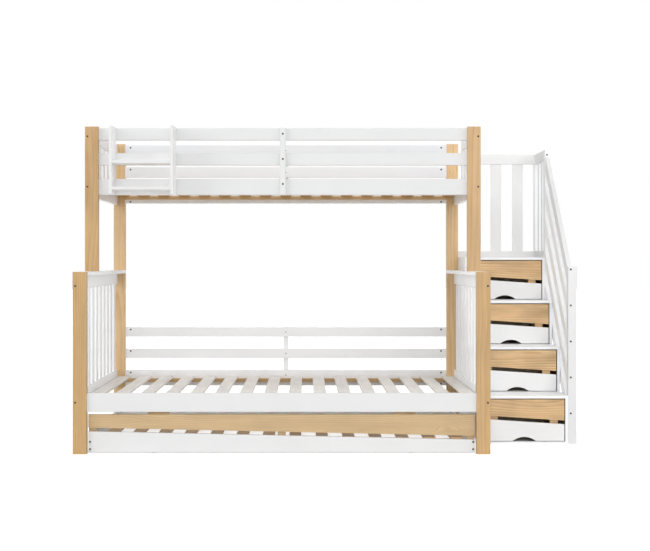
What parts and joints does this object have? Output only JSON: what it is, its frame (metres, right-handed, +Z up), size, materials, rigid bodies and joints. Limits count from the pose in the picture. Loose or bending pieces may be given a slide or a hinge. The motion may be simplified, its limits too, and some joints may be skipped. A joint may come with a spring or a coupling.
{
  "type": "bunk bed",
  "caption": "Wooden bunk bed with a wide lower bunk, a narrower upper bunk, a rolling trundle below and a drawer stair with a slatted guard at one end.",
  "frame": {"origin": "centre of the footprint of bed and stair, on the floor", "axes": "+Z up, +X along the bed towards the stair, -Y towards the front where trundle and drawers open"},
  "size_m": [2.55, 1.455, 1.645],
  "materials": {
    "pine": "clear satin lacquer",
    "slat_wood": "planed, thin white wash",
    "white_paint": "satin white paint",
    "drawer_ply": "plain plywood",
    "dark_steel": "black oxide",
    "zinc_steel": "zinc plate",
    "wheel_plastic": "moulded"
  },
  "bodies": {
    "bed": {"lower_front_left_post": "pine", "lower_front_right_post": "pine", "lower_back_left_post": "pine", "lower_back_right_post": "pine", "upper_front_left_post": "pine", "upper_front_right_post": "pine", "upper_back_left_post": "pine", "upper_back_right_post": "pine", "post_caps": "white_paint", "lower_left_end_panel": "white_paint", "lower_right_end_panel": "white_paint", "lower_front_rail": "white_paint", "lower_back_rail": "white_paint", "slat_ledgers": "pine", "lower_slats": "slat_wood", "lower_guard_boards": "white_paint", "guard_braces": "white_paint", "upper_front_rail": "white_paint", "upper_back_rail": "white_paint", "upper_front_guards": "white_paint", "upper_back_guards": "white_paint", "upper_left_end_panel": "white_paint", "upper_right_end_panel": "white_paint", "upper_slats": "pine", "hanging_shelf": "white_paint", "stair_side_panels": "white_paint", "stair_treads": "white_paint", "stair_back_panel": "white_paint", "newel_post": "white_paint", "landing_posts": "white_paint", "stair_rails": "white_paint", "landing_side_guard": "white_paint", "landing_back_guard": "white_paint", "frame_bolts": "dark_steel", "barrel_nuts": "dark_steel", "post_pins": "zinc_steel"},
    "trundle": {"trundle_upper_front": "pine", "trundle_lower_front": "white_paint", "trundle_battens": "pine", "trundle_frame": "white_paint", "trundle_slats": "slat_wood", "trundle_bolts": "dark_steel", "caster_forks": "zinc_steel", "caster_axles": "zinc_steel"},
    "front_left_wheel": {"front_left_wheel": "wheel_plastic"},
    "front_right_wheel": {"front_right_wheel": "wheel_plastic"},
    "back_left_wheel": {"back_left_wheel": "wheel_plastic"},
    "back_right_wheel": {"back_right_wheel": "wheel_plastic"},
    "drawer_1": {"drawer_1_box": "drawer_ply", "drawer_1_upper_front": "pine", "drawer_1_lower_front": "white_paint"},
    "drawer_2": {"drawer_2_box": "drawer_ply", "drawer_2_upper_front": "pine", "drawer_2_lower_front": "white_paint"},
    "drawer_3": {"drawer_3_box": "drawer_ply", "drawer_3_upper_front": "pine", "drawer_3_lower_front": "white_paint"},
    "drawer_4": {"drawer_4_box": "drawer_ply", "drawer_4_upper_front": "pine", "drawer_4_lower_front": "white_paint"}
  },
  "joints": [
    {"name": "trundle_roll", "type": "slide", "parent": "bed", "child": "trundle", "axis": [0, -1, 0], "range_m": [0, 1]},
    {"name": "front_left_wheel_spin", "type": "hinge", "parent": "trundle", "child": "front_left_wheel", "pos_m": [-0.88717, -0.6615, 0.02], "axis": [1, 0, 0], "continuous": true},
    {"name": "front_right_wheel_spin", "type": "hinge", "parent": "trundle", "child": "front_right_wheel", "pos_m": [0.38717, -0.6615, 0.02], "axis": [1, 0, 0], "continuous": true},
    {"name": "back_left_wheel_spin", "type": "hinge", "parent": "trundle", "child": "back_left_wheel", "pos_m": [-0.88717, 0.2665, 0.02], "axis": [1, 0, 0], "continuous": true},
    {"name": "back_right_wheel_spin", "type": "hinge", "parent": "trundle", "child": "back_right_wheel", "pos_m": [0.38717, 0.2665, 0.02], "axis": [1, 0, 0], "continuous": true},
    {"name": "drawer_1_slide", "type": "slide", "parent": "bed", "child": "drawer_1", "axis": [0, -1, 0], "range_m": [0, 0.28]},
    {"name": "drawer_2_slide", "type": "slide", "parent": "bed", "child": "drawer_2", "axis": [0, -1, 0], "range_m": [0, 0.28]},
    {"name": "drawer_3_slide", "type": "slide", "parent": "bed", "child": "drawer_3", "axis": [0, -1, 0], "range_m": [0, 0.28]},
    {"name": "drawer_4_slide", "type": "slide", "parent": "bed", "child": "drawer_4", "axis": [0, -1, 0], "range_m": [0, 0.28]}
  ],
  "couplings": [
    {"joint": "front_left_wheel_spin", "follows": "trundle_roll", "rad_per_m": 50},
    {"joint": "front_right_wheel_spin", "follows": "trundle_roll", "rad_per_m": 50},
    {"joint": "back_left_wheel_spin", "follows": "trundle_roll", "rad_per_m": 50},
    {"joint": "back_right_wheel_spin", "follows": "trundle_roll", "rad_per_m": 50}
  ]
}
